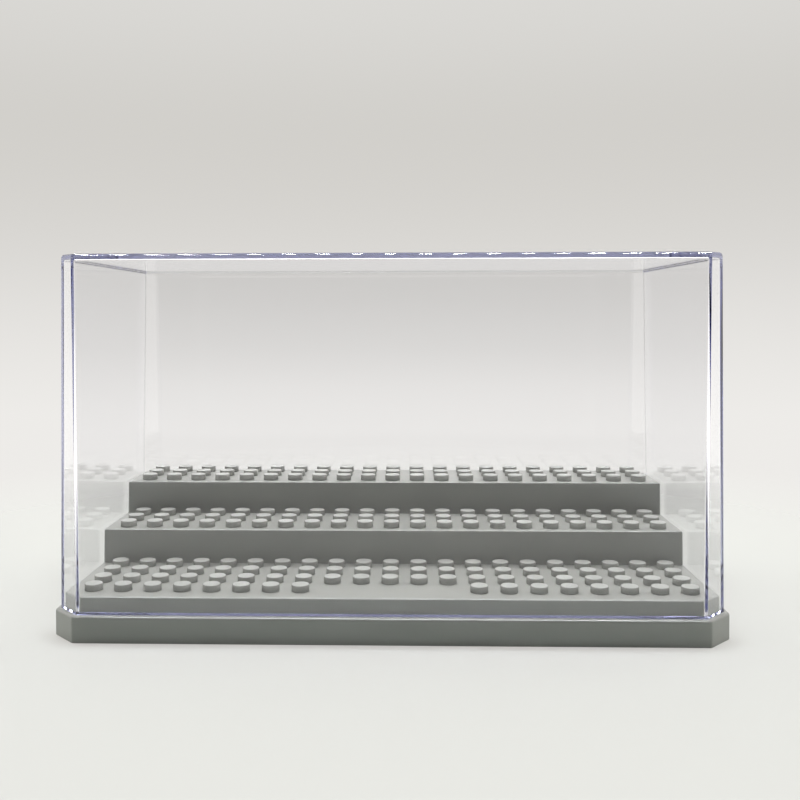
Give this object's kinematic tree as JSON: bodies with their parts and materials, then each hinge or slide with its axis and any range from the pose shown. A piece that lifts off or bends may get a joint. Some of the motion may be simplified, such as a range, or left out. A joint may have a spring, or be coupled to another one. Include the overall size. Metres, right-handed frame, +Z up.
{
  "type": "figure display case",
  "caption": "Clear box-shaped cover with chamfered corners standing on a grey studded base, with stepped stud-topped tiers inside for showing small brick figures.",
  "frame": {"origin": "centre of the base's outline at the height of the surface it stands on", "axes": "+X along the length towards the right seen from the front, +Y towards the back, +Z up"},
  "size_m": [0.1792, 0.0898, 0.1018],
  "materials": {
    "grey_plastic": "satin moulded grey",
    "clear_plastic": "polished clear, faintly blue at the edges"
  },
  "bodies": {
    "base": {"base_tray": "grey_plastic"},
    "middle_step": {"middle_step": "grey_plastic"},
    "rear_step": {"rear_step": "grey_plastic"},
    "cover": {"clear_cover": "clear_plastic"}
  },
  "joints": [
    {"name": "cover_lift", "type": "slide", "parent": "base", "child": "cover", "axis": [0, 0, 1], "range_m": [0, 0.11]},
    {"name": "middle_step_lift", "type": "slide", "parent": "base", "child": "middle_step", "axis": [0, 0, 1], "range_m": [0, 0.02]},
    {"name": "rear_step_lift", "type": "slide", "parent": "base", "child": "rear_step", "axis": [0, 0, 1], "range_m": [0, 0.02]}
  ]
}
